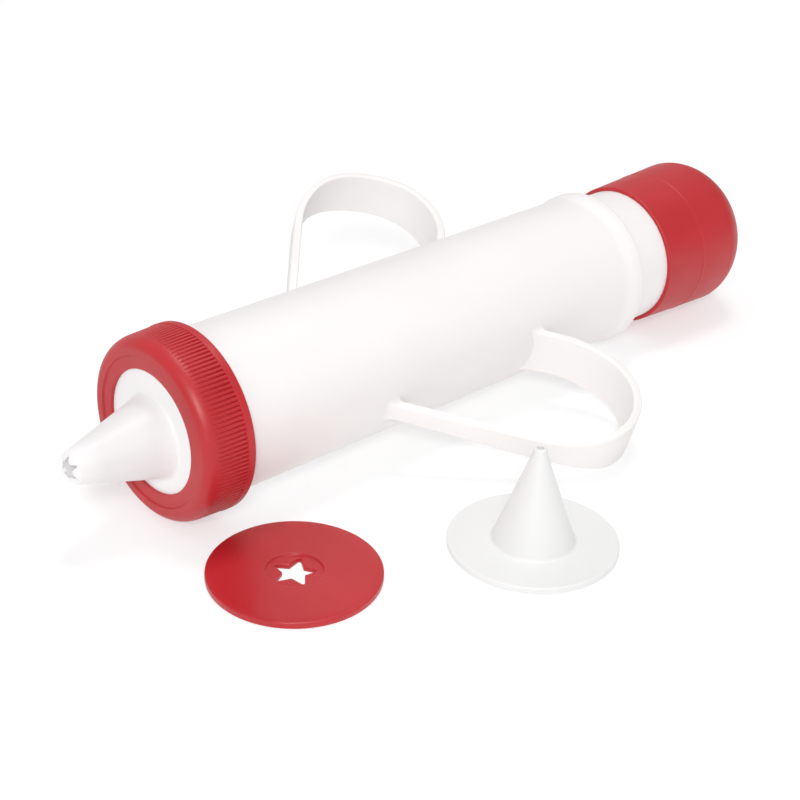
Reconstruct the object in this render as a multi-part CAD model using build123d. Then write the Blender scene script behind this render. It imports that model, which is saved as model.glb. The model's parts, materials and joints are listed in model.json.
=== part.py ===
from build123d import *
import os
from math import asin, cos, degrees, pi, radians, sin

# Cookie press lying on a table, with a loose star disc and a spare nozzle in front of it.
# Millimetres, +Z up. Every press piece is drawn about the local X axis, with the nozzle
# towards -X and the knob towards +X; lay_down() then rests the press on the table, and
# the last step moves the origin to the middle of the whole set, at table height.

# Barrel
barrel_radius = 25.27
bore_radius = 23.35
barrel_front = -2.4
barrel_rear = 180.1
flare_radius = 26.3
flare_start = 171.5
flare_end = 178.2
rear_mouth_radius = 24.6

# Screw thread between the barrel and the ring
thread_pitch = 4.0
thread_depth = 1.18
thread_crest = 1.3
thread_base = 2.0
male_thread_start = -0.9
male_thread_turns = 1.75
female_thread_turns = 1.4
female_root_radius = 26.85
thread_bite = 0.25

# Screw ring
ring_rear = 10.3
ring_rim_radius = 28.65
ring_rim_width = 2.6
rib_count = 130
rib_radius = 28.15
rib_root_radius = 27.7
rib_front = -0.8
ring_face = -5.9
ring_face_radius = 24.7
ring_step_radius = 22.7
ring_step_depth = 0.3
ring_hole_radius = 18.85
ring_seat = -4.5

# Nozzles and disc
disc_radius = 25.0
disc_thickness = 2.0
flange_thickness = 2.0
flange_gap = 0.05
star_nozzle_base_radius = 12.7
star_nozzle_shoulder = -32.3
star_nozzle_tip = -33.4
star_nozzle_shoulder_radius = 4.85
star_nozzle_tip_radius = 2.9
star_nozzle_bore = 2.3
star_nozzle_teeth = 6
star_nozzle_turn = 57.0
nozzle_drop = 1.7
nozzle_wall = 1.5
nozzle_root_fillet = 1.2
spare_base_radius = 12.2
spare_height = 32.5
spare_tip_radius = 1.8
spare_hole_radius = 1.05
recess_radius = 8.2
recess_depth = 0.5
star_radius = 7.4
star_inner_radius = 3.4
star_turn = 37.0

# Plunger
tube_radius = 22.95
tube_wall = 1.8
piston_face = 14.0
head_plate = 7.0
head_plug = 9.0
head_clearance = 0.3
seal_width = 2.6
seal_depth = 1.6
seal_clearance = 0.08
seal_groove_front = 2.2
knob_rim = 196.3
knob_rim_radius = 24.3
knob_crease = 218.0
knob_crease_radius = 25.2
knob_widest = 229.1
knob_radius = 25.63
knob_end = 247.6
knob_roundness = 1.62
knob_bore_clearance = 0.05
knob_socket_end = 231.5
knob_wall = 2.2

# Finger loops: the band's centre line, in the plane of the loops, as (x, distance from the axis)
loop_front_foot = (60.8, 18.9)
loop_front_end = (94.0, 56.3)
loop_bend = [(104.6, 66.3), (117.1, 71.0), (131.6, 66.9), (141.6, 53.6), (140.2, 38.2), (131.9, 27.0)]
loop_rear_foot = (120.8, 19.3)
loop_thickness = 2.7
loop_edge_fillet = 0.6
# the band widens towards its rear foot: (distance along the taper, half width)
loop_taper_slope = 0.7
loop_half_widths = [(28.0, 1.9), (38.0, 2.7), (46.0, 4.2), (55.1, 6.7), (75.0, 7.5), (104.0, 7.8)]

# How the set lies on the table
press_roll = 16.0
disc_place = (7.0, -49.1)
spare_place = (69.6, -81.4)


def turned(*edges):
    """Solid of revolution about X, from edges that close an outline in the upper half plane."""
    outline = make_face(Curve() + list(edges))
    return revolve(outline, axis=Axis.X, revolution_arc=360)


def turned_polygon(*points):
    return turned(Polyline(*points, close=True))


def tube_along_x(start, end, outer, inner):
    return turned_polygon((start, inner), (end, inner), (end, outer), (start, outer))


def circle_edges(solid, x, radius):
    """Circular edges of a turned solid at one place along X, with one radius."""
    rings = solid.edges().filter_by(GeomType.CIRCLE)
    return [e for e in rings if abs(e.arc_center.X - x) < 0.01 and abs(e.radius - radius) < 0.01]


def rounded(solid, x, radius, size):
    return fillet(circle_edges(solid, x, radius), size)


def thread_ridge(root_radius, turns, outward, start):
    """Helical ridge of the thread, along +X from start, rooted just under root_radius."""
    side = 1 if outward else -1
    foot = root_radius - side * thread_bite
    tip = root_radius + side * thread_depth
    helix = Helix(pitch=thread_pitch, height=thread_pitch * turns, radius=root_radius)
    section_plane = Plane(origin=helix @ 0, x_dir=(1, 0, 0), z_dir=helix % 0)
    section = section_plane * Polygon(
        (foot - root_radius, -thread_base / 2),
        (foot - root_radius, thread_base / 2),
        (tip - root_radius, thread_crest / 2),
        (tip - root_radius, -thread_crest / 2),
        align=None,
    )
    ridge = sweep(section, path=helix, is_frenet=True)
    return Pos(start, 0, 0) * Rot(0, 90, 0) * ridge


def make_barrel():
    outline = Curve() + [
        Polyline((flare_end, flare_radius), (barrel_rear, flare_radius), (barrel_rear, rear_mouth_radius)),
        Polyline(
            (barrel_rear, rear_mouth_radius),
            (barrel_rear - 3.0, bore_radius),
            (barrel_front, bore_radius),
            (barrel_front, barrel_radius),
            (flare_start, barrel_radius),
        ),
        Spline(
            (flare_start, barrel_radius),
            (flare_end, flare_radius),
            tangents=[(1, 0), (1, 0)],
        ),
    ]
    body = revolve(make_face(outline), axis=Axis.X, revolution_arc=360)
    body = rounded(body, barrel_rear, flare_radius, 0.7)
    return body + thread_ridge(barrel_radius, male_thread_turns, True, male_thread_start)


def rib_band():
    """Toothed band of the ring's grip, a little taller than the ring's body."""
    step = 2 * pi / rib_count
    hidden_root = rib_root_radius - 0.2
    points = []
    for tooth in range(rib_count):
        for part, radius in ((0.0, hidden_root), (0.14, rib_radius), (0.40, rib_radius), (0.54, hidden_root)):
            angle = (tooth + part) * step
            points.append((radius * cos(angle), radius * sin(angle)))
    teeth = Polygon(*points, align=None) - Circle(rib_root_radius - 0.8)
    length = ring_rear - ring_rim_width - rib_front
    return Pos(rib_front, 0, 0) * Rot(0, 90, 0) * extrude(teeth, amount=length)


def make_screw_ring():
    rim_front = ring_rear - ring_rim_width
    shoulder_depth = rib_front - ring_face
    shoulder_height = rib_radius - ring_face_radius
    shoulder_middle = (
        rib_front - shoulder_depth * cos(radians(45)),
        ring_face_radius + shoulder_height * sin(radians(45)),
    )
    step_face = ring_face + ring_step_depth
    body = turned(
        ThreePointArc((ring_face, ring_face_radius), shoulder_middle, (rib_front, rib_radius)),
        Polyline(
            (rib_front, rib_radius),
            (rib_front, rib_root_radius),
            (rim_front, rib_root_radius),
            (rim_front, ring_rim_radius),
            (ring_rear, ring_rim_radius),
            (ring_rear, female_root_radius),
            (ring_seat, female_root_radius),
            (ring_seat, ring_hole_radius),
            (step_face, ring_hole_radius),
            (step_face, ring_step_radius),
            (ring_face, ring_step_radius + 0.3),
            (ring_face, ring_face_radius),
        ),
    )
    body = rounded(body, step_face, ring_hole_radius, 0.6)
    body = rounded(body, ring_rear, ring_rim_radius, 0.3)
    thread_start = male_thread_start + thread_pitch / 2
    ridge = thread_ridge(female_root_radius, female_thread_turns, False, thread_start)
    return body + rib_band() + ridge


def nozzle_shell(base_radius, shoulder_x, shoulder_radius, tip_x, tip_radius, hole_radius):
    """Flange and hollow cone about X, with the flange's rear face against the barrel."""
    rear = barrel_front - flange_gap
    front = rear - flange_thickness
    inner_shoulder = max(shoulder_radius - nozzle_wall, hole_radius)
    shell = turned_polygon(
        (rear, disc_radius),
        (front, disc_radius),
        (front, base_radius),
        (shoulder_x, shoulder_radius),
        (tip_x, tip_radius),
        (tip_x, hole_radius),
        (shoulder_x, inner_shoulder),
        (rear, base_radius - nozzle_wall),
    )
    return rounded(shell, front, base_radius, nozzle_root_fillet)


def make_fitted_nozzle():
    shell = nozzle_shell(
        star_nozzle_base_radius,
        star_nozzle_shoulder,
        star_nozzle_shoulder_radius,
        star_nozzle_tip,
        star_nozzle_tip_radius,
        star_nozzle_bore,
    )
    # the teeth lean inwards, and the gaps between them make the mouth a star
    corners = []
    for index in range(2 * star_nozzle_teeth):
        radius = star_nozzle_shoulder_radius - 0.1 if index % 2 == 0 else star_nozzle_bore
        angle = radians(star_nozzle_turn + 180 * index / star_nozzle_teeth)
        corners.append((radius * cos(angle), radius * sin(angle)))
    gaps = extrude(Polygon(*corners, align=None), amount=star_nozzle_shoulder - star_nozzle_tip + 1)
    shell -= Pos(star_nozzle_tip - 1, 0, 0) * Rot(0, 90, 0) * gaps
    # the loose flange has dropped to the bottom of the ring's pocket
    return Rot(-press_roll, 0, 0) * Pos(0, 0, -nozzle_drop) * shell


def make_spare_nozzle():
    """Built about X like the fitted one, then stood on its flange at table height."""
    rear = barrel_front - flange_gap
    tip = rear - spare_height
    cone = nozzle_shell(spare_base_radius, tip + 2.5, 2.35, tip, spare_tip_radius, spare_hole_radius)
    return Pos(*spare_place, 0) * Rot(0, 90, 0) * Pos(-rear, 0, 0) * cone


def make_star_disc():
    plate = extrude(Circle(disc_radius), amount=disc_thickness)
    plate = chamfer(plate.edges().filter_by(GeomType.CIRCLE), 0.2)
    recess = Pos(0, 0, disc_thickness - recess_depth) * extrude(Circle(recess_radius), amount=disc_thickness)
    corners = []
    for index in range(10):
        radius = star_radius if index % 2 == 0 else star_inner_radius
        angle = radians(star_turn + 36 * index)
        corners.append((radius * cos(angle), radius * sin(angle)))
    star = Pos(0, 0, -1) * extrude(Polygon(*corners, align=None), amount=disc_thickness + 2)
    return Pos(*disc_place, 0) * (plate - recess - star)


def make_plunger_tube():
    start = piston_face + head_plate
    return tube_along_x(start, knob_socket_end, tube_radius, tube_radius - tube_wall)


def make_piston_head():
    """Cup-shaped piston: a plate with the seal's groove, plugged into the tube's front end."""
    outer = bore_radius - head_clearance
    inner = outer - seal_depth
    groove_front = piston_face + seal_groove_front
    groove_rear = groove_front + seal_width
    shoulder = piston_face + head_plate
    plug_end = shoulder + head_plug
    plug_radius = tube_radius - tube_wall - 0.02
    head = turned_polygon(
        (piston_face, 0),
        (piston_face, outer),
        (groove_front, outer),
        (groove_front, inner),
        (groove_rear, inner),
        (groove_rear, outer),
        (shoulder, outer),
        (shoulder, plug_radius),
        (plug_end, plug_radius),
        (plug_end, plug_radius - 2.0),
        (piston_face + 2.5, plug_radius - 2.0),
        (piston_face + 2.5, 0),
    )
    return rounded(head, piston_face, outer, 0.8)


def make_piston_seal():
    start = piston_face + seal_groove_front + 0.05
    outer = bore_radius - seal_clearance
    inner = bore_radius - head_clearance - seal_depth + 0.05
    ring = tube_along_x(start, start + seal_width - 0.1, outer, inner)
    return fillet(circle_edges(ring, start, outer) + circle_edges(ring, start + seal_width - 0.1, outer), 0.6)


def knob_dome(radius, start, end, exponent, steps):
    """Points of a rounded end that leaves the side smoothly and closes on the axis."""
    points = []
    for index in range(steps + 1):
        angle = pi / 2 * index / steps
        across = radius * cos(angle) ** (2 / exponent) if index < steps else 0.0
        along = start + (end - start) * sin(angle) ** (2 / exponent)
        points.append((along, across))
    return points


def make_plunger_knob():
    outer_dome = knob_dome(knob_radius, knob_widest, knob_end, knob_roundness, 7)
    socket = tube_radius + knob_bore_clearance
    cavity_radius = socket - 1.2
    inner_end = knob_end - knob_wall
    knob = turned(
        Polyline((knob_rim, socket), (knob_rim, knob_rim_radius), (knob_crease, knob_crease_radius)),
        Line((knob_crease, knob_crease_radius), (knob_widest, knob_radius)),
        Spline(*outer_dome, tangents=[(1, 0), (0, -1)]),
        Line((knob_end, 0), (inner_end, 0)),
        Spline((inner_end, 0), (knob_socket_end + 3.0, cavity_radius), tangents=[(0, 1), (-1, 0.15)]),
        Polyline(
            (knob_socket_end + 3.0, cavity_radius),
            (knob_socket_end + 0.1, cavity_radius),
            (knob_socket_end + 0.1, socket),
            (knob_rim, socket),
        ),
    )
    return rounded(knob, knob_rim, knob_rim_radius, 0.4)


def offset_curve(centre, distance, steps):
    """Spline that runs beside a curve in its plane, on the left for a positive distance."""
    points = []
    for index in range(steps + 1):
        at = centre @ (index / steps)
        along = centre % (index / steps)
        points.append((at.X - along.Y * distance, at.Y + along.X * distance))
    return points


def make_finger_loop():
    """Loop on the +Y side of the barrel, cut to the barrel's surface."""
    arm = Line(loop_front_foot, loop_front_end)
    arm_direction = arm % 1
    rear_direction = (loop_rear_foot[0] - loop_bend[-1][0], loop_rear_foot[1] - loop_bend[-1][1])
    bend = Spline(
        loop_front_end,
        *loop_bend,
        loop_rear_foot,
        tangents=[(arm_direction.X, arm_direction.Y), rear_direction],
    )
    half = loop_thickness / 2
    arm_outer = offset_curve(arm, half, 1)
    arm_inner = offset_curve(arm, -half, 1)
    bend_outer = offset_curve(bend, half, 14)
    bend_inner = offset_curve(bend, -half, 14)
    band_face = make_face(
        Curve()
        + [
            Line(*arm_outer),
            Spline(*bend_outer),
            Line(bend_outer[-1], bend_inner[-1]),
            Spline(*bend_inner),
            Line(*arm_inner),
            Line(arm_inner[0], arm_outer[0]),
        ]
    )
    band = extrude(band_face, amount=12, both=True)
    # wedge that gives the band its growing width
    upper = [(along, width) for along, width in loop_half_widths]
    lower = [(along, -width) for along, width in loop_half_widths]
    wedge_face = make_face(
        Curve()
        + [
            Spline(*upper),
            Line(upper[-1], lower[-1]),
            Spline(*lower),
            Line(lower[0], upper[0]),
        ]
    )
    wedge_plane = Plane(origin=(0, 0, 0), x_dir=(1, -loop_taper_slope, 0), z_dir=(loop_taper_slope, 1, 0))
    wedge = extrude(wedge_plane * wedge_face, amount=200, both=True)
    band = band & wedge
    long_edges = [e for e in band.edges() if e.length > 15]
    band = fillet(long_edges, loop_edge_fillet)
    inside_barrel = Rot(0, 90, 0) * Cylinder(barrel_radius, 600)
    return band - inside_barrel


def lay_down(piece):
    """Rests the press on the ring's rear rim and on the knob's widest circle."""
    lean = asin((ring_rim_radius - knob_radius) / (knob_widest - ring_rear))
    axis_height = ring_rim_radius * cos(lean) + ring_rear * sin(lean)
    return Pos(0, 0, axis_height) * Rot(0, degrees(lean), 0) * Rot(press_roll, 0, 0) * piece


finger_loop = make_finger_loop()
press_pieces = {
    "barrel": make_barrel(),
    "finger_loop_far": finger_loop,
    "finger_loop_near": Rot(180, 0, 0) * finger_loop,
    "screw_ring": make_screw_ring(),
    "fitted_nozzle": make_fitted_nozzle(),
    "plunger_tube": make_plunger_tube(),
    "piston_head": make_piston_head(),
    "piston_seal": make_piston_seal(),
    "plunger_knob": make_plunger_knob(),
}
pieces = {name: lay_down(piece) for name, piece in press_pieces.items()}
pieces["star_disc"] = make_star_disc()
pieces["spare_nozzle"] = make_spare_nozzle()

whole_box = Compound(children=[Compound(piece.solids()) for piece in pieces.values()]).bounding_box()
table_origin = Pos(-whole_box.center().X, -whole_box.center().Y, -whole_box.min.Z)

os.makedirs("parts", exist_ok=True)
for name, piece in pieces.items():
    export_step(table_origin * piece, os.path.join("parts", name + ".step"))
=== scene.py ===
import json
from math import atan2, cos, hypot, pi, radians, sin, sqrt, tan

import bmesh
import bpy
import numpy as np
from mathutils import Matrix, Vector


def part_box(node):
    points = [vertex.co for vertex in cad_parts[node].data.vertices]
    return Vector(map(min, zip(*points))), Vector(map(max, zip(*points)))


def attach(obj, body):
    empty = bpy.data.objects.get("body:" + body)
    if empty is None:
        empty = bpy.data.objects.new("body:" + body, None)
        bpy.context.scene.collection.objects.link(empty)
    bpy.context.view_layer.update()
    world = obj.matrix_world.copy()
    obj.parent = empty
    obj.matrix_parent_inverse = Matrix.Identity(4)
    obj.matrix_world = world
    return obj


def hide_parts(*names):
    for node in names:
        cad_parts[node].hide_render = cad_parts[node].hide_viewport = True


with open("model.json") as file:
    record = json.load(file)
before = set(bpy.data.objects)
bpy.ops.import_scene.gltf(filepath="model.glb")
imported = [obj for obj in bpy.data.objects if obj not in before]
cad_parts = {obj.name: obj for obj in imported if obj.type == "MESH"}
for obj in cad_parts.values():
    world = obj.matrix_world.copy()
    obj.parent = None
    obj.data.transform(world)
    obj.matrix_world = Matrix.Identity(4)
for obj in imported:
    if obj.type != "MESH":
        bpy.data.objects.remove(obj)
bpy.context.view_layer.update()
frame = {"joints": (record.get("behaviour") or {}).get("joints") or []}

# Looks of the cookie press, its star disc and its spare nozzle.
# Shapes are written in millimetres, about the press's own X axis (nozzle towards -X, knob
# towards +X), and are turned into metres in the row frame when a piece is made.

MM = 0.001

# Barrel
BARREL_RADIUS = 25.27
BORE_RADIUS = 23.35
BARREL_FRONT = -2.4
BARREL_REAR = 180.1
FLARE_RADIUS = 26.3
FLARE_START = 171.5
FLARE_END = 178.2
REAR_MOUTH_RADIUS = 24.6
REAR_MOUTH_DEPTH = 3.0

# Screw thread
THREAD_PITCH = 4.0
THREAD_DEPTH = 1.18
THREAD_CREST = 1.3
THREAD_BASE = 2.0
THREAD_SUNK = 0.25
THREAD_BEVEL = 0.10
MALE_START = -0.9
MALE_TURNS = 1.75
FEMALE_TURNS = 1.4
FEMALE_ROOT_RADIUS = 26.85

# Screw ring
RING_REAR = 10.3
RING_RIM_RADIUS = 28.65
RING_RIM_WIDTH = 2.6
RIB_COUNT = 130
RIB_RADIUS = 28.15
RIB_ROOT_RADIUS = 27.92
RIB_FRONT = -0.8
RIB_RISE = 0.04
RING_FACE = -5.9
RING_FACE_RADIUS = 24.7
RING_STEP_RADIUS = 22.7
RING_STEP_DEPTH = 0.45
RING_HOLE_RADIUS = 18.85
RING_SEAT = -4.5

# Nozzles and disc
DISC_RADIUS = 25.0
DISC_THICKNESS = 2.0
FLANGE_THICKNESS = 2.0
FLANGE_GAP = 0.05
STAR_BASE_RADIUS = 12.7
STAR_SHOULDER = -32.3
STAR_TIP = -33.4
STAR_SHOULDER_RADIUS = 4.85
STAR_TIP_RADIUS = 2.9
STAR_BORE = 2.3
STAR_TEETH = 6
STAR_TOOTH_TURN = radians(57.0)
STAR_TOOTH_EDGE = 0.12
STAR_NOTCH_GAP = 0.1
NOZZLE_DROP = 1.7
NOZZLE_WALL = 1.5
NOZZLE_ROOT_FILLET = 1.2
SPARE_BASE_RADIUS = 12.2
SPARE_HEIGHT = 32.5
SPARE_SHOULDER_RADIUS = 2.35
SPARE_TIP_LENGTH = 2.5
SPARE_TIP_RADIUS = 1.8
SPARE_HOLE_RADIUS = 1.05
RECESS_RADIUS = 8.2
RECESS_DEPTH = 0.6
DISC_EDGE = 0.32
STAR_RADIUS = 7.4
STAR_INNER_RADIUS = 3.4
STAR_TURN = 37.0

# Plunger
TUBE_RADIUS = 22.95
TUBE_WALL = 1.8
PISTON_FACE = 14.0
HEAD_PLATE = 7.0
HEAD_PLUG = 9.0
HEAD_WALL = 2.0
HEAD_FRONT = 2.5
PLUG_CLEARANCE = 0.02
HEAD_RADIUS = 23.05
SEAL_WIDTH = 2.6
SEAL_DEPTH = 1.6
SEAL_RADIUS = 23.27
SEAL_GROOVE = 16.2
SEAL_PLAY = 0.05
KNOB_RIM = 196.3
KNOB_RIM_RADIUS = 24.3
KNOB_CREASE = 213.6
KNOB_CREASE_RADIUS = 25.0
KNOB_WIDEST = 229.1
KNOB_RADIUS = 25.63
KNOB_END = 247.6
KNOB_ROUNDNESS = 1.74
KNOB_SOCKET_END = 231.5
KNOB_WALL = 2.2
KNOB_CLEARANCE = 0.05
KNOB_STEP = 1.2
KNOB_CAVITY = 3.0
KNOB_RIDGE = 0.14

# Finger loops: centre line of the band as (x, distance from the axis)
LOOP_FRONT_FOOT = (60.8, 18.9)
LOOP_FRONT_END = (94.0, 56.3)
LOOP_BEND = ((104.6, 66.3), (117.1, 71.0), (131.6, 66.9), (141.6, 53.6), (140.2, 38.2), (131.9, 27.0))
LOOP_REAR_FOOT = (120.8, 19.3)
LOOP_THICKNESS = 2.7
LOOP_EDGE = 0.6
LOOP_TAPER_SLOPE = 0.7
LOOP_HALF_WIDTHS = ((28.0, 1.9), (38.0, 2.7), (46.0, 4.2), (55.1, 6.7), (75.0, 7.5), (104.0, 7.8))
LOOP_FOOT_RADIUS = 24.4
LOOP_FOOT_FILLET = 1.8
LOOP_FOOT_SUNK = 0.12
LOOP_FOOT_SPREAD = 0.8
LOOP_FOOT_SPREAD_SLOPE = 7.0

# How the press lies on the table
PRESS_ROLL = radians(16.0)

# Camera, in metres and radians, with its lens in millimetres
CAMERA_TARGET_FROM_RING = Vector((0.073335, -0.020213, -0.008786))
CAMERA_AZIMUTH = radians(-44.066)
CAMERA_ELEVATION = radians(29.229)
CAMERA_ROLL = radians(2.186)
CAMERA_DISTANCE = 0.55049
CAMERA_LENS = 80.911


# ---------------------------------------------------------------- frames

def press_matrix():
    """Place of the press's own axes in the row frame, from the ring's screw joint."""
    screw = next(joint for joint in frame["joints"] if joint["name"] == "ring_turn")
    along = -Vector(screw["axis"]).normalized()
    side = Vector((0.0, 1.0, 0.0))
    up = along.cross(side).normalized()
    turn = Matrix((along, side, up)).transposed().to_4x4()
    return Matrix.Translation(screw["pos_m"]) @ turn @ Matrix.Rotation(PRESS_ROLL, 4, "X")


def standing_matrix(node):
    """Frame of a piece that lies on the table: the middle of its CAD box, at its lowest point."""
    low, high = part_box(node)
    return Matrix.Translation(((low.x + high.x) / 2, (low.y + high.y) / 2, low.z))


PRESS = press_matrix()
UNROLLED = PRESS @ Matrix.Rotation(-PRESS_ROLL, 4, "X")


# ---------------------------------------------------------------- mesh building

def unit(vector):
    length = hypot(*vector)
    return (vector[0] / length, vector[1] / length)


# share of an edge that a fillet may take, and the distance of its supporting points
FILLET_SHARE = 0.45
SUPPORT_REACH = 0.12


def rounded_outline(corners, closed=True, steps=5):
    """Points of an outline given as (x, radius, fillet). Fillets become arcs, and each arc
    has a point just before and after it, so that flat runs stay flat when shaded smoothly."""
    points = []
    count = len(corners)
    for index, (x, r, fillet) in enumerate(corners):
        inner = closed or 0 < index < count - 1
        if not fillet or not inner:
            points.append((x, r))
            continue
        before = corners[index - 1]
        after = corners[(index + 1) % count]
        back = (before[0] - x, before[1] - r)
        ahead = (after[0] - x, after[1] - r)
        room = FILLET_SHARE * min(hypot(*back), hypot(*ahead))
        back = unit(back)
        ahead = unit(ahead)
        half_angle = 0.5 * (atan2(ahead[1], ahead[0]) - atan2(back[1], back[0]))
        reach = min(abs(fillet / tan(half_angle)), room)
        first = (x + back[0] * reach, r + back[1] * reach)
        last = (x + ahead[0] * reach, r + ahead[1] * reach)
        support = min(SUPPORT_REACH, 0.2 * (room - reach)) if room > reach else 0
        if support > 0.01:
            points.append((first[0] + back[0] * support, first[1] + back[1] * support))
        for step in range(steps + 1):
            t = step / steps
            # a rational quadratic with this weight is a circular arc
            weight = abs(sin(half_angle))
            a, b, c = (1 - t) ** 2, 2 * t * (1 - t) * weight, t * t
            total = a + b + c
            points.append((
                (a * first[0] + b * x + c * last[0]) / total,
                (a * first[1] + b * r + c * last[1]) / total,
            ))
        if support > 0.01:
            points.append((last[0] + ahead[0] * support, last[1] + ahead[1] * support))
    return points


def broken_up(points, longest, closed=True):
    """The same outline with extra points on its long runs."""
    result = []
    pairs = list(zip(points, points[1:] + points[:1])) if closed else list(zip(points, points[1:]))
    for start, end in pairs:
        pieces = max(1, round(hypot(end[0] - start[0], end[1] - start[1]) / longest))
        for piece in range(pieces):
            t = piece / pieces
            result.append((start[0] + (end[0] - start[0]) * t, start[1] + (end[1] - start[1]) * t))
    if not closed:
        result.append(points[-1])
    return result


class Shell:
    """Vertices and faces of one piece, in millimetres."""

    def __init__(self):
        self.points = []
        self.faces = []

    def add_rings(self, rings, closed=False, caps=False):
        """Joins rings of equally many points. A ring of one point is a pole."""
        starts = []
        for ring in rings:
            starts.append(len(self.points))
            self.points.extend(ring)
        follow = [(i, i + 1) for i in range(len(rings) - 1)]
        if closed:
            follow.append((len(rings) - 1, 0))
        for here, there in follow:
            count = max(len(rings[here]), len(rings[there]))
            for j in range(count):
                k = (j + 1) % count
                a, b = starts[here], starts[there]
                if len(rings[here]) == 1:
                    self.faces.append((a, b + j, b + k))
                elif len(rings[there]) == 1:
                    self.faces.append((a + j, b, a + k))
                else:
                    self.faces.append((a + j, b + j, b + k, a + k))
        if caps:
            for start, ring in ((starts[0], rings[0]), (starts[-1], rings[-1])):
                self.faces.append(tuple(range(start, start + len(ring))))

    def add_lathe(self, outline, columns=256, closed=True):
        rings = []
        for x, r in outline:
            if r < 1e-6:
                rings.append([(x, 0.0, 0.0)])
            else:
                rings.append([
                    (x, r * cos(2 * pi * j / columns), r * sin(2 * pi * j / columns))
                    for j in range(columns)
                ])
        self.add_rings(rings, closed=closed)

    def add_thread(self, root, turns, outward, start):
        """Helical ridge with run-out ends, sunk a little into the wall it stands on."""
        side = 1 if outward else -1
        per_turn = 120
        steps = round(turns * per_turn)
        run_out = 14
        base, crest, sunk = THREAD_BASE / 2, THREAD_CREST / 2, THREAD_SUNK
        rings = []
        for step in range(steps + 1):
            angle = 2 * pi * step / per_turn - pi / 2
            end = min(step, steps - step) / run_out
            height = THREAD_DEPTH * min(1.0, max(0.02, end)) ** 0.5
            middle = start + THREAD_PITCH * step / per_turn
            ring = []
            for along, out in (
                (-base, -sunk),
                (-crest - THREAD_BEVEL, height - THREAD_BEVEL),
                (-crest, height),
                (crest, height),
                (crest + THREAD_BEVEL, height - THREAD_BEVEL),
                (base, -sunk),
            ):
                r = root + side * max(out, -sunk)
                ring.append((middle + along, r * cos(angle), r * sin(angle)))
            rings.append(ring)
        self.add_rings(rings, caps=True)

    def make(self, name, matrix, material, body, replaced):
        """Turns the shell into a piece in the row frame, in metres."""
        mesh = bpy.data.meshes.new(name)
        place = [matrix @ (Vector(p) * MM) for p in self.points]
        mesh.from_pydata(place, [], self.faces)
        mesh.validate()
        work = bmesh.new()
        work.from_mesh(mesh)
        bmesh.ops.recalc_face_normals(work, faces=work.faces)
        for face in work.faces:
            face.smooth = True
        work.to_mesh(mesh)
        work.free()
        mesh.materials.append(material)
        piece = bpy.data.objects.new(name, mesh)
        bpy.context.scene.collection.objects.link(piece)
        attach(piece, body)
        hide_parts(*replaced)


# ---------------------------------------------------------------- materials

DEEP_RED = (0.415, 0.0102, 0.015)
PALE_RED = (0.490, 0.0185, 0.024)
# the fitted nozzle's painted glow along its length, painted light that lifts its shade: even near the
# cone's middle, stronger at the ends
PAINTED_GLOW_MIDDLE = -18.0
PAINTED_GLOW_EVEN = 7.0
PAINTED_GLOW_HALF = 13.5


class Paint:
    """A Principled material whose nodes are added by name."""

    def __init__(self, name):
        self.material = bpy.data.materials.new(name)
        self.material.use_nodes = True
        self.tree = self.material.node_tree
        self.shader = self.tree.nodes["Principled BSDF"]

    def add(self, kind, **settings):
        node = self.tree.nodes.new(kind)
        for key, value in settings.items():
            setattr(node, key, value)
        return node

    def link(self, source, target):
        self.tree.links.new(source, target)

    def press_coordinates(self, matrix):
        """Object coordinates turned into the piece's own axes."""
        where = self.add("ShaderNodeTexCoord")
        mapping = self.add("ShaderNodeMapping", vector_type="TEXTURE")
        mapping.inputs["Location"].default_value = matrix.to_translation()
        mapping.inputs["Rotation"].default_value = matrix.to_euler()
        self.link(where.outputs["Object"], mapping.inputs["Vector"])
        return mapping.outputs["Vector"]

    def noise(self, vector, scale, detail=3.0, stretch=(1.0, 1.0, 1.0)):
        mapping = self.add("ShaderNodeMapping")
        mapping.inputs["Scale"].default_value = stretch
        self.link(vector, mapping.inputs["Vector"])
        noise = self.add("ShaderNodeTexNoise")
        noise.inputs["Scale"].default_value = scale
        noise.inputs["Detail"].default_value = detail
        self.link(mapping.outputs["Vector"], noise.inputs["Vector"])
        return noise.outputs["Fac"]

    def ranged(self, value, low_in, high_in, low_out, high_out):
        node = self.add("ShaderNodeMapRange")
        for key, number in (
            ("From Min", low_in),
            ("From Max", high_in),
            ("To Min", low_out),
            ("To Max", high_out),
        ):
            node.inputs[key].default_value = number
        self.link(value, node.inputs["Value"])
        return node.outputs["Result"]

    def mixed(self, factor, first, second):
        node = self.add("ShaderNodeMix", data_type="RGBA")
        self.link(factor, node.inputs["Factor"])
        for socket, value in ((node.inputs[6], first), (node.inputs[7], second)):
            socket.default_value = (*value, 1.0)
        return node.outputs[2]

    def maths(self, operation, first, second):
        node = self.add("ShaderNodeMath", operation=operation)
        for socket, value in zip(node.inputs, (first, second)):
            if isinstance(value, (int, float)):
                socket.default_value = value
            else:
                self.link(value, socket)
        return node.outputs["Value"]

    def bump(self, height, strength, distance):
        node = self.add("ShaderNodeBump")
        node.inputs["Strength"].default_value = strength
        node.inputs["Distance"].default_value = distance
        self.link(height, node.inputs["Height"])
        self.link(node.outputs["Normal"], self.shader.inputs["Normal"])


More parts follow.
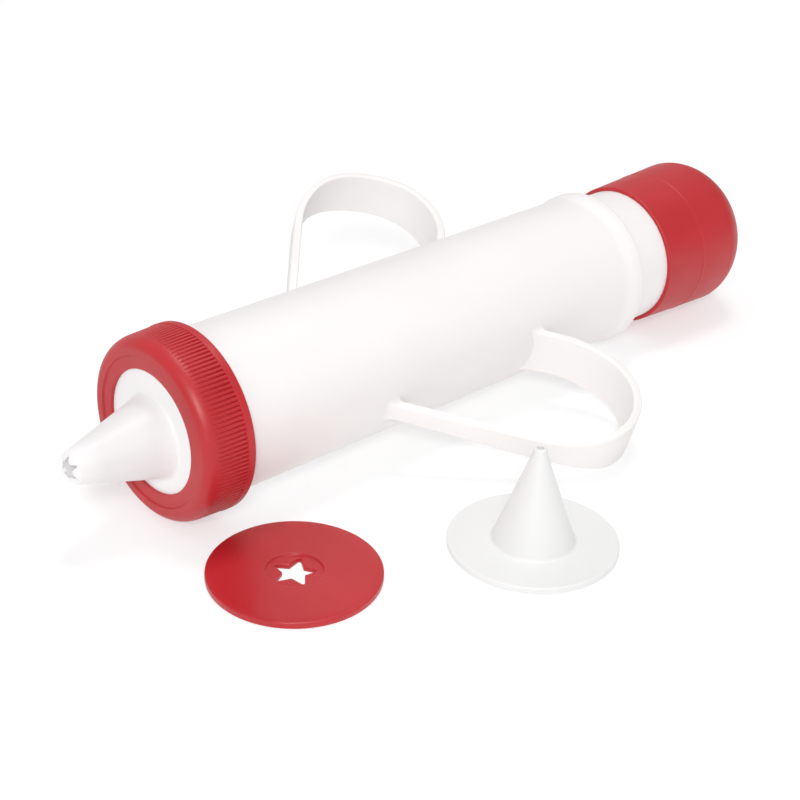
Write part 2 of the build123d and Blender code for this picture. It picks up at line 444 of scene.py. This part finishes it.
def white_plastic(name, matrix, deep, pale, painted_glow, painted_end_glow=None):
    """Milky moulded polypropylene: faint cloudiness between two colours, and a satin skin with a fine
    grain.
    The glow is painted light: an even emission that lifts the piece's shade, standing for the light that
    a thin wall lets through, and the end glow is a stronger painted glow at the fitted nozzle's flange and
    tip that lifts the shade in its star mouth."""
    paint = Paint(name)
    where = paint.press_coordinates(matrix)
    cloud = paint.noise(where, scale=28.0, detail=3.0, stretch=(0.5, 1.0, 1.0))
    colour = paint.mixed(paint.ranged(cloud, 0.35, 0.65, 0.0, 1.0), deep, pale)
    paint.link(colour, paint.shader.inputs["Base Color"])
    grain = paint.noise(where, scale=1500.0, detail=2.0)
    swirl = paint.noise(where, scale=60.0, detail=3.0, stretch=(0.25, 1.0, 1.0))
    paint.link(paint.ranged(swirl, 0.3, 0.7, 0.34, 0.46), paint.shader.inputs["Roughness"])
    waves = paint.noise(where, scale=45.0, detail=1.0, stretch=(0.4, 1.0, 1.0))
    height = paint.maths("ADD", paint.maths("MULTIPLY", grain, 0.12), waves)
    paint.bump(height, strength=0.12, distance=0.0003)
    shader = paint.shader.inputs
    shader["IOR"].default_value = 1.49
    shader["Subsurface Weight"].default_value = 0.12
    shader["Subsurface Radius"].default_value = (1.0, 0.85, 0.75)
    shader["Subsurface Scale"].default_value = 0.0015
    shader["Emission Color"].default_value = (1.0, 0.98, 0.97, 1.0)
    # painted light: an even glow that lifts the shade on the piece
    shader["Emission Strength"].default_value = painted_glow
    # a stronger painted glow towards the fitted nozzle's flange and tip, lifting the shade in its star
    # mouth
    if painted_end_glow is not None:
        parted = paint.add("ShaderNodeSeparateXYZ")
        paint.link(where, parted.inputs["Vector"])
        shifted = paint.maths("SUBTRACT", parted.outputs["X"], PAINTED_GLOW_MIDDLE * MM)
        from_middle = paint.maths("ABSOLUTE", shifted, 0.0)
        strength = paint.ranged(from_middle, PAINTED_GLOW_EVEN * MM, PAINTED_GLOW_HALF * MM, painted_glow, painted_end_glow)
        paint.link(strength, shader["Emission Strength"])
    return paint.material


def red_plastic(name, matrix, gloss, flow):
    """Red moulded plastic with cloudy flow marks. flow scales their pattern on each axis, and
    gloss is the lowest roughness."""
    paint = Paint(name)
    where = paint.press_coordinates(matrix)
    cloud = paint.noise(where, scale=30.0, detail=4.0, stretch=flow)
    colour = paint.mixed(paint.ranged(cloud, 0.35, 0.65, 0.0, 1.0), DEEP_RED, PALE_RED)
    paint.link(colour, paint.shader.inputs["Base Color"])
    patches = paint.noise(where, scale=70.0, detail=4.0)
    paint.link(paint.ranged(patches, 0.3, 0.7, gloss, gloss + 0.09), paint.shader.inputs["Roughness"])
    grain = paint.noise(where, scale=1300.0, detail=2.0)
    waves = paint.noise(where, scale=55.0, detail=1.0)
    height = paint.maths("ADD", paint.maths("MULTIPLY", grain, 0.05), waves)
    paint.bump(height, strength=0.12, distance=0.0003)
    shader = paint.shader.inputs
    shader["IOR"].default_value = 1.5
    shader["Subsurface Weight"].default_value = 0.06
    shader["Subsurface Radius"].default_value = (1.0, 0.10, 0.08)
    shader["Subsurface Scale"].default_value = 0.0015
    return paint.material


def silicone(name, matrix):
    """Pale food-grade silicone: dull and slightly cloudy."""
    paint = Paint(name)
    where = paint.press_coordinates(matrix)
    cloud = paint.noise(where, scale=120.0, detail=3.0)
    colour = paint.mixed(paint.ranged(cloud, 0.3, 0.7, 0.0, 1.0), (0.56, 0.56, 0.53), (0.64, 0.64, 0.62))
    paint.link(colour, paint.shader.inputs["Base Color"])
    paint.link(paint.ranged(cloud, 0.3, 0.7, 0.50, 0.62), paint.shader.inputs["Roughness"])
    paint.bump(paint.noise(where, scale=2200.0, detail=3.0), strength=0.3, distance=0.00008)
    paint.shader.inputs["Subsurface Weight"].default_value = 0.3
    paint.shader.inputs["Subsurface Scale"].default_value = 0.002
    return paint.material


WHITE = white_plastic(
    "white_plastic", PRESS, deep=(0.812, 0.786, 0.777), pale=(0.834, 0.810, 0.802), painted_glow=0.0
)
# the nozzles' white plastic has a darker base colour with a painted glow on top, painted light that evens
# out their shade
WHITE_NOZZLE = white_plastic(
    "white_plastic_nozzle", PRESS, deep=(0.612, 0.600, 0.604), pale=(0.632, 0.620, 0.624),
    painted_glow=0.13, painted_end_glow=0.215,
)
WHITE_SPARE = white_plastic(
    "white_plastic_spare", PRESS, deep=(0.618, 0.618, 0.616), pale=(0.642, 0.642, 0.640), painted_glow=0.13
)
RED_KNOB = red_plastic("red_plastic_knob", PRESS, gloss=0.40, flow=(0.35, 1.0, 1.0))
RED_RING = red_plastic("red_plastic_ring", PRESS, gloss=0.38, flow=(1.0, 1.0, 1.0))
RED_DISC = red_plastic(
    "red_plastic_disc", standing_matrix("star_disc"), gloss=0.28, flow=(1.0, 0.5, 1.0)
)
SEAL = silicone("seal_silicone", PRESS)


# ---------------------------------------------------------------- barrel

def flare_curve(steps):
    """Hump that leads from the barrel's side to its wider rear collar."""
    points = []
    for step in range(1, steps):
        t = step / steps
        ease = t * t * (3 - 2 * t)
        points.append((FLARE_START + (FLARE_END - FLARE_START) * t,
                       BARREL_RADIUS + (FLARE_RADIUS - BARREL_RADIUS) * ease, 0))
    return points


def make_barrel():
    corners = [
        (BARREL_FRONT, BARREL_RADIUS, 0.25),
        (FLARE_START, BARREL_RADIUS, 0),
        *flare_curve(16),
        (FLARE_END, FLARE_RADIUS, 0),
        (BARREL_REAR, FLARE_RADIUS, 0.7),
        (BARREL_REAR, REAR_MOUTH_RADIUS, 0.3),
        (BARREL_REAR - REAR_MOUTH_DEPTH, BORE_RADIUS, 2.0),
        (BARREL_FRONT, BORE_RADIUS, 0.25),
    ]
    shell = Shell()
    shell.add_lathe(broken_up(rounded_outline(corners), longest=6.0), columns=288)
    shell.add_thread(BARREL_RADIUS, MALE_TURNS, True, MALE_START)
    shell.make("barrel_tube", PRESS, WHITE, "barrel", ["barrel"])


# ---------------------------------------------------------------- finger loops

def hermite(t, chord, start, start_slope, end, end_slope):
    """Cubic from start to end over a length of chord, at the share t."""
    return (
        (2 * t ** 3 - 3 * t ** 2 + 1) * start
        + (t ** 3 - 2 * t ** 2 + t) * chord * start_slope
        + (-2 * t ** 3 + 3 * t ** 2) * end
        + (t ** 3 - t ** 2) * chord * end_slope
    )


def smooth_curve(points, start_tangent, end_tangent, per_piece):
    """Smooth curve through the points, as (point, tangent) pairs."""
    knots = np.array(points, float)
    chords = np.linalg.norm(np.diff(knots, axis=0), axis=1)
    count = len(knots)
    system = np.zeros((count, count))
    goal = np.zeros((count, 2))
    system[0, 0] = system[-1, -1] = 1.0
    goal[0] = unit(start_tangent)
    goal[-1] = unit(end_tangent)
    for i in range(1, count - 1):
        before, after = chords[i - 1], chords[i]
        system[i, i - 1] = 1 / before
        system[i, i] = 2 / before + 2 / after
        system[i, i + 1] = 1 / after
        goal[i] = 3 * ((knots[i] - knots[i - 1]) / before ** 2 + (knots[i + 1] - knots[i]) / after ** 2)
    slopes = np.linalg.solve(system, goal)
    result = []
    for i, chord in enumerate(chords):
        for step in range(per_piece + (i == count - 2)):
            t = step / per_piece
            place = hermite(t, chord, knots[i], slopes[i], knots[i + 1], slopes[i + 1])
            speed = (
                (6 * t ** 2 - 6 * t) * knots[i] / chord
                + (3 * t ** 2 - 4 * t + 1) * slopes[i]
                + (-6 * t ** 2 + 6 * t) * knots[i + 1] / chord
                + (3 * t ** 2 - 2 * t) * slopes[i + 1]
            )
            result.append((tuple(place), unit(speed)))
    return result


def loop_half_width(x, out):
    """Half width of the band, which grows along a slanted direction towards the rear foot."""
    along = (x - LOOP_TAPER_SLOPE * out) / hypot(1.0, LOOP_TAPER_SLOPE)
    table = LOOP_HALF_WIDTHS
    if along <= table[0][0]:
        return table[0][1]
    places = [row[0] for row in table]
    widths = [row[1] for row in table]
    slopes = [(widths[i + 1] - widths[i]) / (places[i + 1] - places[i]) for i in range(len(table) - 1)]
    knots = [slopes[0], *[(a + b) / 2 for a, b in zip(slopes, slopes[1:])], slopes[-1]]
    for i in range(len(table) - 1):
        if along <= places[i + 1]:
            span = places[i + 1] - places[i]
            t = (along - places[i]) / span
            return hermite(t, span, widths[i], knots[i], widths[i + 1], knots[i + 1])
    return widths[-1]


def band_section():
    """Rounded section of the band as (across, edge share, edge offset): a point's height is
    share * half width + offset."""
    half = LOOP_THICKNESS / 2
    flat = half - LOOP_EDGE
    section = []
    for side_n, side_z, first in ((1, 1, 0), (-1, 1, 90), (-1, -1, 180), (1, -1, 270)):
        for step in range(6):
            angle = radians(first + 90 * step / 5)
            across = side_n * flat + LOOP_EDGE * cos(angle)
            section.append((across, side_z, LOOP_EDGE * (sin(angle) - side_z)))
    return section


def on_foot(point, direction, radius):
    """The point slid along the band's direction to a radius from the barrel's axis."""
    x, y, z = point
    target = sqrt(radius * radius - z * z)
    shift = (target - y) / direction[1]
    return (x + direction[0] * shift, target, z)


def flared(point, across, rise):
    """Widens the band where it meets the barrel, as a moulded fillet does."""
    x, y, z = point
    radius = hypot(y, z)
    distance = radius - BARREL_RADIUS
    if distance >= LOOP_FOOT_FILLET:
        return point
    inside = LOOP_FOOT_FILLET - max(distance, 0.0)
    grow = LOOP_FOOT_FILLET - sqrt(LOOP_FOOT_FILLET ** 2 - inside ** 2)
    # the foot goes on widening just under the barrel's surface
    grow += min(LOOP_FOOT_SPREAD, LOOP_FOOT_SPREAD_SLOPE * max(-distance, 0.0))
    wide_z = z + rise * grow
    return (x + across[0] * grow, sqrt(radius ** 2 - wide_z ** 2), wide_z)


def make_finger_loop(name, turn):
    arm = (LOOP_FRONT_END[0] - LOOP_FRONT_FOOT[0], LOOP_FRONT_END[1] - LOOP_FRONT_FOOT[1])
    rear = (LOOP_REAR_FOOT[0] - LOOP_BEND[-1][0], LOOP_REAR_FOOT[1] - LOOP_BEND[-1][1])
    bend = smooth_curve([LOOP_FRONT_END, *LOOP_BEND, LOOP_REAR_FOOT], arm, rear, 14)
    arm_steps = 14
    path = []
    for step in range(3, arm_steps):
        t = step / arm_steps
        path.append(((LOOP_FRONT_FOOT[0] + arm[0] * t, LOOP_FRONT_FOOT[1] + arm[1] * t), unit(arm)))
    path += bend
    section = band_section()
    half = LOOP_THICKNESS / 2

    def ring_at(place, tangent):
        normal = (-tangent[1], tangent[0])
        ring = []
        for across, share, offset in section:
            x = place[0] + normal[0] * across
            y = place[1] + normal[1] * across
            z = share * loop_half_width(x, y) + offset
            ring.append((x, y, z))
        return ring

    clear = BARREL_RADIUS + LOOP_FOOT_FILLET + 0.1
    rings = []
    for place, tangent in path:
        ring = ring_at(place, tangent)
        if min(hypot(y, z) for x, y, z in ring) > clear:
            rings.append((ring, tangent))

    def foot_rings(ring, tangent):
        inner = [on_foot(point, tangent, LOOP_FOOT_RADIUS) for point in ring]
        sunk = [on_foot(point, tangent, BARREL_RADIUS - LOOP_FOOT_SUNK) for point in ring]
        start = [on_foot(point, tangent, BARREL_RADIUS) for point in ring]
        steps = 16
        made = [inner, sunk]
        for step in range(steps):
            t = (step / steps) ** 2
            made.append([tuple(a + (b - a) * t for a, b in zip(p, q)) for p, q in zip(start, ring)])
        return made

    front = foot_rings(*rings[0])
    back = foot_rings(*rings[-1])
    every = (
        [(ring, rings[0][1]) for ring in front] + rings + [(ring, rings[-1][1]) for ring in reversed(back)]
    )
    shaped = []
    for ring, tangent in every:
        normal = (-tangent[1], tangent[0])
        made = []
        for point, (across, share, offset) in zip(ring, section):
            edge = across / half
            rise = share * (1 + offset / LOOP_EDGE * share)
            made.append(flared(point, (normal[0] * edge, normal[1] * edge), rise))
        shaped.append(made)
    shell = Shell()
    shell.add_rings(shaped, caps=True)
    place = PRESS @ Matrix.Rotation(turn, 4, "X")
    shell.make(name + "_band", place, WHITE, "barrel", [name])


# ---------------------------------------------------------------- screw ring

def shoulder_radius(x):
    """Radius of the ring's rounded front shoulder, whose face is at RING_FACE."""
    reach = min(1.0, max(0.0, (RIB_FRONT - x) / (RIB_FRONT - RING_FACE)))
    return RING_FACE_RADIUS + (RIB_RADIUS - RING_FACE_RADIUS) * sqrt(1 - reach * reach)


# one rib and its groove: (share of the rib's pitch, share of the rib's height)
RIB_SHAPE = (
    (0.0, 0.0), (0.04, 0.5), (0.08, 0.85), (0.14, 1.0), (0.62, 1.0),
    (0.68, 0.85), (0.72, 0.5), (0.76, 0.0), (0.88, -0.1),
)


def rib_top(x):
    """The ribs rise a little towards the rim."""
    return RIB_RADIUS + max(0.0, x - RIB_FRONT) * RIB_RISE


def make_screw_ring():
    columns = []
    for rib in range(RIB_COUNT):
        for part, height in RIB_SHAPE:
            columns.append((2 * pi * (rib + part) / RIB_COUNT, height))

    def ring_of(x, radius, ribs=False):
        """One ring of points. With ribs, grooves are cut below radius."""
        ring = []
        for angle, height in columns:
            r = radius
            if ribs:
                groove = RIB_ROOT_RADIUS + (rib_top(x) - RIB_ROOT_RADIUS) * height
                r = min(radius, groove)
            ring.append((x, r * cos(angle), r * sin(angle)))
        return ring

    rings = []
    shoulder_steps = 22
    for step in range(shoulder_steps):
        angle = pi / 2 * step / shoulder_steps
        x = RIB_FRONT - (RIB_FRONT - RING_FACE) * cos(angle)
        rings.append(ring_of(x, shoulder_radius(x), True))
    rim_front = RING_REAR - RING_RIM_WIDTH
    for x in (RIB_FRONT, 0.6, 2.5, 5.0, rim_front - 0.35, rim_front - 0.08, rim_front):
        rings.append(ring_of(x, rib_top(x), True))
    step_face = RING_FACE + RING_STEP_DEPTH
    corners = [
        (rim_front, rib_top(rim_front), 0),
        (rim_front, RING_RIM_RADIUS, 0.08),
        (RING_REAR, RING_RIM_RADIUS, 0.5),
        (RING_REAR, FEMALE_ROOT_RADIUS, 0.3),
        (RING_SEAT, FEMALE_ROOT_RADIUS, 0.3),
        (RING_SEAT, RING_HOLE_RADIUS, 0.15),
        (step_face, RING_HOLE_RADIUS, 0.6),
        (step_face, RING_STEP_RADIUS, 0.12),
        (RING_FACE, RING_STEP_RADIUS + 0.3, 0.12),
        (RING_FACE, RING_FACE_RADIUS, 0),
    ]
    outline = rounded_outline(corners, closed=False)
    for x, r in outline[1:-1]:
        rings.append(ring_of(x, r))
    shell = Shell()
    shell.add_rings(rings, closed=True)
    shell.add_thread(FEMALE_ROOT_RADIUS, FEMALE_TURNS, False, MALE_START + THREAD_PITCH / 2)
    shell.make("screw_ring_shell", PRESS, RED_RING, "ring", ["screw_ring"])


# ---------------------------------------------------------------- nozzles

def star_gap_radius(step, steps):
    """Radius of the star opening, on a straight line from a tooth's point out to a notch's root.
    step runs from 0 at a tooth's point to steps at the next notch."""
    turn = pi / STAR_TEETH
    off = turn * step / steps
    root = STAR_SHOULDER_RADIUS - STAR_NOTCH_GAP
    return STAR_BORE * root * sin(turn) / (STAR_BORE * sin(off) + root * sin(turn - off))


def make_fitted_nozzle():
    rear = BARREL_FRONT - FLANGE_GAP
    front = rear - FLANGE_THICKNESS
    inner_shoulder = STAR_SHOULDER_RADIUS - NOZZLE_WALL
    outer = rounded_outline([
        (rear, STAR_BASE_RADIUS - NOZZLE_WALL, 0),
        (rear, DISC_RADIUS, 0.3),
        (front, DISC_RADIUS, 0.4),
        (front, STAR_BASE_RADIUS, NOZZLE_ROOT_FILLET),
        (STAR_SHOULDER, STAR_SHOULDER_RADIUS, 0.35),
        (STAR_TIP, STAR_TIP_RADIUS, 0),
    ], closed=False)
    steps = 22
    columns = STAR_TEETH * 2 * steps
    bevel = (STAR_SHOULDER - STAR_TIP) / (STAR_SHOULDER_RADIUS - STAR_TIP_RADIUS)
    gaps = []
    for j in range(columns):
        place = j % (2 * steps)
        gaps.append(star_gap_radius(min(place, 2 * steps - place), steps))

    def ring_of(places):
        """Ring of points whose (x, radius) differ from one direction to the next."""
        ring = []
        for j, (x, r) in enumerate(places):
            angle = STAR_TOOTH_TURN + 2 * pi * j / columns
            ring.append((x, r * cos(angle), r * sin(angle)))
        return ring

    def bevelled(radius):
        """Depth of the bevelled face, which ends in a small flat at the teeth's points."""
        return max(STAR_TIP, STAR_SHOULDER - (STAR_SHOULDER_RADIUS - radius) * bevel)

    def tooth_back(radius):
        share = (radius - STAR_BORE) / (inner_shoulder - STAR_BORE)
        depth = STAR_SHOULDER - STAR_TIP - STAR_TOOTH_EDGE
        return STAR_TIP + STAR_TOOTH_EDGE + depth * min(1.0, max(0.0, share))

    rings = [ring_of([(x, r)] * columns) for x, r in outer[:-1]]
    last_r = outer[-2][1]
    for share in (0.3, 0.6, 0.85):
        radii = [last_r + (max(gap, STAR_TIP_RADIUS) - last_r) * share for gap in gaps]
        rings.append(ring_of([(bevelled(r), r) for r in radii]))
    # three small steps round off the teeth's edges
    rings.append(ring_of([(bevelled(gap + 0.1), min(gap + 0.1, last_r)) for gap in gaps]))
    rings.append(ring_of([(bevelled(gap) + 0.06, gap + 0.01) for gap in gaps]))
    rings.append(ring_of([(max(tooth_back(gap), bevelled(gap) + 0.09), gap) for gap in gaps]))
    for share in (0.5, 1.0):
        rings.append(ring_of([
            (
                tooth_back(gap) + (STAR_SHOULDER - tooth_back(gap)) * share,
                gap + (inner_shoulder - gap) * share,
            )
            for gap in gaps
        ]))
    rings.append(ring_of([(STAR_SHOULDER + 0.3, inner_shoulder + 0.05)] * columns))
    rings.append(ring_of([(rear - 0.2, STAR_BASE_RADIUS - NOZZLE_WALL - 0.06)] * columns))
    shell = Shell()
    shell.add_rings(rings, closed=True)
    place = UNROLLED @ Matrix.Translation((0, 0, -NOZZLE_DROP * MM))
    shell.make("fitted_nozzle_cone", place, WHITE_NOZZLE, "nozzle", ["fitted_nozzle"])


def make_spare_nozzle():
    """Drawn along X like the other, then stood on its flange."""
    shoulder = SPARE_HEIGHT - SPARE_TIP_LENGTH
    inner_tip = max(SPARE_SHOULDER_RADIUS - NOZZLE_WALL, SPARE_HOLE_RADIUS)
    corners = [
        (0.0, SPARE_BASE_RADIUS - NOZZLE_WALL, 0.2),
        (0.0, DISC_RADIUS, 0.35),
        (FLANGE_THICKNESS, DISC_RADIUS, 0.5),
        (FLANGE_THICKNESS, SPARE_BASE_RADIUS, NOZZLE_ROOT_FILLET),
        (shoulder, SPARE_SHOULDER_RADIUS, 1.0),
        (SPARE_HEIGHT, SPARE_TIP_RADIUS, 0.45),
        (SPARE_HEIGHT, SPARE_HOLE_RADIUS, 0.15),
        (shoulder, inner_tip, 1.0),
    ]
    shell = Shell()
    shell.add_lathe(rounded_outline(corners, steps=8), columns=224)
    place = standing_matrix("spare_nozzle") @ Matrix.Rotation(-pi / 2, 4, "Y")
    shell.make("spare_nozzle_cone", place, WHITE_SPARE, "spare", ["spare_nozzle"])


# ---------------------------------------------------------------- star disc

def star_outline(rounding, steps):
    """Ten-cornered star whose corners are rounded, as (x, y) points."""
    corners = []
    for index in range(10):
        outer = index % 2 == 0
        radius = STAR_RADIUS if outer else STAR_INNER_RADIUS
        angle = radians(STAR_TURN + 36 * index)
        corners.append((radius * cos(angle), radius * sin(angle), rounding if outer else rounding * 0.6))
    return broken_up(rounded_outline(corners, steps=steps), 0.35)


def make_star_disc():
    top = DISC_THICKNESS
    floor_z = top - RECESS_DEPTH
    star = star_outline(0.55, 6)

    def ring(radius, z):
        """Round ring whose points look out along the star's own directions."""
        return [(radius * x / hypot(x, y), radius * y / hypot(x, y), z) for x, y in star]

    def star_ring(grow, z):
        return [(x + grow * x / hypot(x, y), y + grow * y / hypot(x, y), z) for x, y in star]

    def blended(share, z):
        """Ring part of the way from the star to the recess's edge."""
        points = []
        for x, y in star:
            out = RECESS_RADIUS / hypot(x, y)
            points.append((x + (out * x - x) * share, y + (out * y - y) * share, z))
        return points

    rings = [star_ring(0.0, 0.15), star_ring(0.0, floor_z - 0.1), star_ring(0.08, floor_z)]
    rings += [blended(share, floor_z) for share in (0.2, 0.5, 0.85)]
    rings += [ring(RECESS_RADIUS - 0.12, floor_z), ring(RECESS_RADIUS, floor_z + 0.08)]
    for grow, z in ((0.03, top - 0.1), (0.12, top), (0.4, top)):
        rings.append(ring(RECESS_RADIUS + grow, z))
    for radius in (11.0, 15.0, 19.0, 22.5):
        rings.append(ring(radius, top))
    edge = DISC_EDGE
    for z_middle, first in ((top - edge, 90), (edge, 0)):
        for step in range(6):
            angle = radians(first - 90 * step / 5)
            rings.append(ring(DISC_RADIUS - edge + edge * cos(angle), z_middle + edge * sin(angle)))
    for radius in (22.5, 17.0, 11.0, RECESS_RADIUS):
        rings.append(ring(radius, 0.0))
    rings.append(star_ring(0.1, 0.0))
    shell = Shell()
    shell.add_rings(rings, closed=True)
    shell.make(
        "star_disc_plate", standing_matrix("star_disc"), RED_DISC, "disc", ["star_disc"]
    )


# ---------------------------------------------------------------- plunger

def make_plunger_tube():
    start = PISTON_FACE + HEAD_PLATE
    inner = TUBE_RADIUS - TUBE_WALL
    corners = [
        (start, inner, 0.2),
        (start, TUBE_RADIUS, 0.3),
        (KNOB_SOCKET_END, TUBE_RADIUS, 0.3),
        (KNOB_SOCKET_END, inner, 0.2),
    ]
    shell = Shell()
    shell.add_lathe(broken_up(rounded_outline(corners), longest=8.0), columns=240)
    shell.make("plunger_tube_wall", PRESS, WHITE, "plunger", ["plunger_tube"])


def make_piston_head():
    inner = HEAD_RADIUS - SEAL_DEPTH
    shoulder = PISTON_FACE + HEAD_PLATE
    plug = TUBE_RADIUS - TUBE_WALL - PLUG_CLEARANCE
    corners = [
        (PISTON_FACE, 0, 0),
        (PISTON_FACE, HEAD_RADIUS, 0.8),
        (SEAL_GROOVE, HEAD_RADIUS, 0.15),
        (SEAL_GROOVE, inner, 0.1),
        (SEAL_GROOVE + SEAL_WIDTH, inner, 0.1),
        (SEAL_GROOVE + SEAL_WIDTH, HEAD_RADIUS, 0.15),
        (shoulder, HEAD_RADIUS, 0.2),
        (shoulder, plug, 0.1),
        (shoulder + HEAD_PLUG, plug, 0.3),
        (shoulder + HEAD_PLUG, plug - HEAD_WALL, 0.2),
        (PISTON_FACE + HEAD_FRONT, plug - HEAD_WALL, 0.8),
        (PISTON_FACE + HEAD_FRONT, 0, 0),
    ]
    shell = Shell()
    shell.add_lathe(rounded_outline(corners, closed=False), columns=240, closed=False)
    shell.make("piston_head_cup", PRESS, WHITE, "plunger", ["piston_head"])


def make_piston_seal():
    start = SEAL_GROOVE + SEAL_PLAY
    end = start + SEAL_WIDTH - 2 * SEAL_PLAY
    inner = HEAD_RADIUS - SEAL_DEPTH + SEAL_PLAY
    corners = [(start, inner, 0.2), (start, SEAL_RADIUS, 0.6), (end, SEAL_RADIUS, 0.6), (end, inner, 0.2)]
    shell = Shell()
    shell.add_lathe(rounded_outline(corners, steps=7), columns=240)
    shell.make("piston_seal_ring", PRESS, SEAL, "seal", ["piston_seal"])


def dome_curve(start, radius, end, roundness, steps):
    """Points from a side of the given radius towards the axis."""
    points = []
    for step in range(steps):
        angle = pi / 2 * step / steps
        points.append((start + (end - start) * sin(angle) ** (2 / roundness),
                       radius * cos(angle) ** (2 / roundness), 0))
    return points


def make_plunger_knob():
    socket = TUBE_RADIUS + KNOB_CLEARANCE
    cavity = socket - KNOB_STEP
    inner_start = KNOB_SOCKET_END + KNOB_CAVITY
    corners = [
        (KNOB_END, 0, 0),
        *reversed(dome_curve(KNOB_WIDEST, KNOB_RADIUS, KNOB_END, KNOB_ROUNDNESS, 44)),
        # the moulding line: a small ridge, steeper on the rim's side
        (KNOB_CREASE + 1.3, KNOB_CREASE_RADIUS + 0.06, 0.4),
        (KNOB_CREASE + 0.5, KNOB_CREASE_RADIUS + KNOB_RIDGE, 0.25),
        (KNOB_CREASE, KNOB_CREASE_RADIUS - 0.02, 0.15),
        (KNOB_RIM, KNOB_RIM_RADIUS, 0.45),
        (KNOB_RIM, socket, 0.15),
        (KNOB_SOCKET_END + 0.1, socket, 0.1),
        (KNOB_SOCKET_END + 0.1, cavity, 0.2),
        *dome_curve(inner_start, cavity, KNOB_END - KNOB_WALL, KNOB_ROUNDNESS, 24),
        (KNOB_END - KNOB_WALL, 0, 0),
    ]
    shell = Shell()
    shell.add_lathe(rounded_outline(corners, closed=False), columns=288, closed=False)
    shell.make("plunger_knob_cap", PRESS, RED_KNOB, "plunger", ["plunger_knob"])


make_barrel()
make_finger_loop("finger_loop_far", 0.0)
make_finger_loop("finger_loop_near", pi)
make_screw_ring()
make_fitted_nozzle()
make_spare_nozzle()
make_star_disc()
make_plunger_tube()
make_piston_head()
make_piston_seal()
make_plunger_knob()


# ---------------------------------------------------------------- studio

FLOOR_HALF = 3.0
FLOOR_COLOUR = (0.45, 0.45, 0.45, 1.0)
FLOOR_GLOW = 0.545
SKY_BRIGHT = 0.66
SKY_DIM = 0.36
SKY_DIM_SIDE = (0.966, -0.26, 0.0)


def make_floor():
    """Pale table that gives off some light of its own, so that its shadows stay faint."""
    half = FLOOR_HALF
    mesh = bpy.data.meshes.new("studio_floor")
    corners = [(-half, -half, 0), (half, -half, 0), (half, half, 0), (-half, half, 0)]
    mesh.from_pydata(corners, [], [(0, 1, 2, 3)])
    paint = Paint("studio_floor")
    paint.shader.inputs["Base Color"].default_value = FLOOR_COLOUR
    paint.shader.inputs["Emission Color"].default_value = (1.0, 1.0, 1.0, 1.0)
    paint.shader.inputs["Emission Strength"].default_value = FLOOR_GLOW
    paint.shader.inputs["Roughness"].default_value = 0.9
    paint.shader.inputs["Specular IOR Level"].default_value = 0.0
    mesh.materials.append(paint.material)
    floor = bpy.data.objects.new("studio_floor", mesh)
    bpy.context.scene.collection.objects.link(floor)


def aimed(place, target):
    return (target - place).to_track_quat("-Z", "Y").to_euler()


def add_light(name, azimuth, elevation, distance, size, power):
    """Soft panel at an angle round the set. Azimuth 0 is in front, 90 on the right."""
    a, e = radians(azimuth), radians(elevation)
    place = Vector((sin(a) * cos(e), -cos(a) * cos(e), sin(e))) * distance
    data = bpy.data.lights.new(name, "AREA")
    data.shape = "DISK"
    data.size = size
    data.energy = power
    light = bpy.data.objects.new(name, data)
    light.location = place
    light.rotation_euler = aimed(place, Vector((0, 0, 0)))
    bpy.context.scene.collection.objects.link(light)


def make_world():
    """White surroundings that grow dimmer towards the knob's end, as in a tent lit from one side."""
    world = bpy.data.worlds.new("studio")
    world.use_nodes = True
    background = world.node_tree.nodes["Background"]
    background.inputs["Color"].default_value = (1.0, 1.0, 1.0, 1.0)
    nodes, links = world.node_tree.nodes, world.node_tree.links
    where = nodes.new("ShaderNodeTexCoord")
    toward = nodes.new("ShaderNodeVectorMath")
    toward.operation = "DOT_PRODUCT"
    toward.inputs[1].default_value = SKY_DIM_SIDE
    fall = nodes.new("ShaderNodeMapRange")
    for key, value in (("From Min", 0.0), ("From Max", 1.0), ("To Min", SKY_BRIGHT), ("To Max", SKY_DIM)):
        fall.inputs[key].default_value = value
    links.new(where.outputs["Generated"], toward.inputs[0])
    links.new(toward.outputs["Value"], fall.inputs["Value"])
    links.new(fall.outputs["Result"], background.inputs["Strength"])
    bpy.context.scene.world = world


def make_camera():
    azimuth, elevation = CAMERA_AZIMUTH, CAMERA_ELEVATION
    target = PRESS.to_translation() + CAMERA_TARGET_FROM_RING
    back = Vector((sin(azimuth) * cos(elevation), -cos(azimuth) * cos(elevation), sin(elevation)))
    right = (-back).cross(Vector((0, 0, 1))).normalized()
    up = back.cross(right)
    across = right * cos(CAMERA_ROLL) + up * sin(CAMERA_ROLL)
    over = up * cos(CAMERA_ROLL) - right * sin(CAMERA_ROLL)
    turn = Matrix((across, over, back)).transposed().to_4x4()
    data = bpy.data.cameras.new("camera")
    data.lens = CAMERA_LENS
    data.sensor_width = 36.0
    data.clip_start = 0.01
    camera = bpy.data.objects.new("camera", data)
    camera.matrix_world = Matrix.Translation(target + back * CAMERA_DISTANCE) @ turn
    bpy.context.scene.collection.objects.link(camera)
    bpy.context.scene.camera = camera


make_floor()
make_world()
make_camera()
add_light("light_behind", azimuth=124, elevation=79, distance=1.6, size=0.45, power=7.5)
add_light("light_front", azimuth=-46, elevation=36, distance=1.7, size=0.35, power=13.5)
bpy.context.scene.view_settings.view_transform = "Standard"
bpy.context.scene.view_settings.look = "None"
